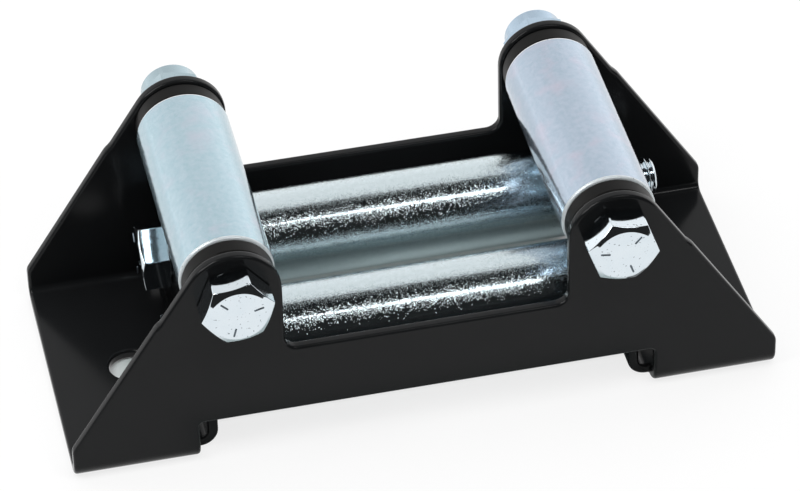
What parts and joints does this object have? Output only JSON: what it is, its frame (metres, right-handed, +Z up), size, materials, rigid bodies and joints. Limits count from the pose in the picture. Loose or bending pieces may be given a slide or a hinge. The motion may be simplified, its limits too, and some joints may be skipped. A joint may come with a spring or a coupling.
{
  "type": "roller fairlead",
  "caption": "Winch roller fairlead: a bent sheet frame with cross rollers above long rollers, so that a rope runs over turning steel from any side.",
  "frame": {"origin": "on the mounting face, midway between the two mounting holes", "axes": "+X along the long rollers towards their nuts, +Y along the cross bolts towards their nuts, +Z up away from the mounting face"},
  "size_m": [0.1606, 0.0843, 0.0566],
  "materials": {
    "powder_coat": "satin black powder coat on mild steel sheet",
    "roller_zinc": "bright blue-white zinc plate on drawn steel tube",
    "fastener_zinc": "bright zinc plate on forged steel",
    "bush_nylon": "moulded black nylon",
    "nut_ring_nylon": "natural white nylon"
  },
  "bodies": {
    "frame": {"frame": "powder_coat", "cross_bolt_left": "fastener_zinc", "cross_bolt_right": "fastener_zinc", "cross_nut_left": "fastener_zinc", "cross_nut_right": "fastener_zinc", "cross_nut_ring_left": "nut_ring_nylon", "cross_nut_ring_right": "nut_ring_nylon", "long_bolt_front": "fastener_zinc", "long_bolt_back": "fastener_zinc", "long_nut_front": "fastener_zinc", "long_nut_back": "fastener_zinc", "long_nut_ring_front": "nut_ring_nylon", "long_nut_ring_back": "nut_ring_nylon"},
    "cross_roller_left": {"cross_roller_left": "roller_zinc", "cross_bush_left_front": "bush_nylon", "cross_bush_left_back": "bush_nylon"},
    "cross_roller_right": {"cross_roller_right": "roller_zinc", "cross_bush_right_front": "bush_nylon", "cross_bush_right_back": "bush_nylon"},
    "long_roller_front": {"long_roller_front": "roller_zinc", "long_bush_front_left": "bush_nylon", "long_bush_front_right": "bush_nylon"},
    "long_roller_back": {"long_roller_back": "roller_zinc", "long_bush_back_left": "bush_nylon", "long_bush_back_right": "bush_nylon"}
  },
  "joints": [
    {"name": "cross_roller_left_spin", "type": "hinge", "parent": "frame", "child": "cross_roller_left", "pos_m": [-0.0427, 0, 0.0458], "axis": [0, 1, 0], "continuous": true},
    {"name": "cross_roller_right_spin", "type": "hinge", "parent": "frame", "child": "cross_roller_right", "pos_m": [0.0427, 0, 0.0458], "axis": [0, 1, 0], "continuous": true},
    {"name": "long_roller_front_spin", "type": "hinge", "parent": "frame", "child": "long_roller_front", "pos_m": [0, -0.01695, 0.0194], "axis": [1, 0, 0], "continuous": true},
    {"name": "long_roller_back_spin", "type": "hinge", "parent": "frame", "child": "long_roller_back", "pos_m": [0, 0.01695, 0.0194], "axis": [1, 0, 0], "continuous": true}
  ]
}
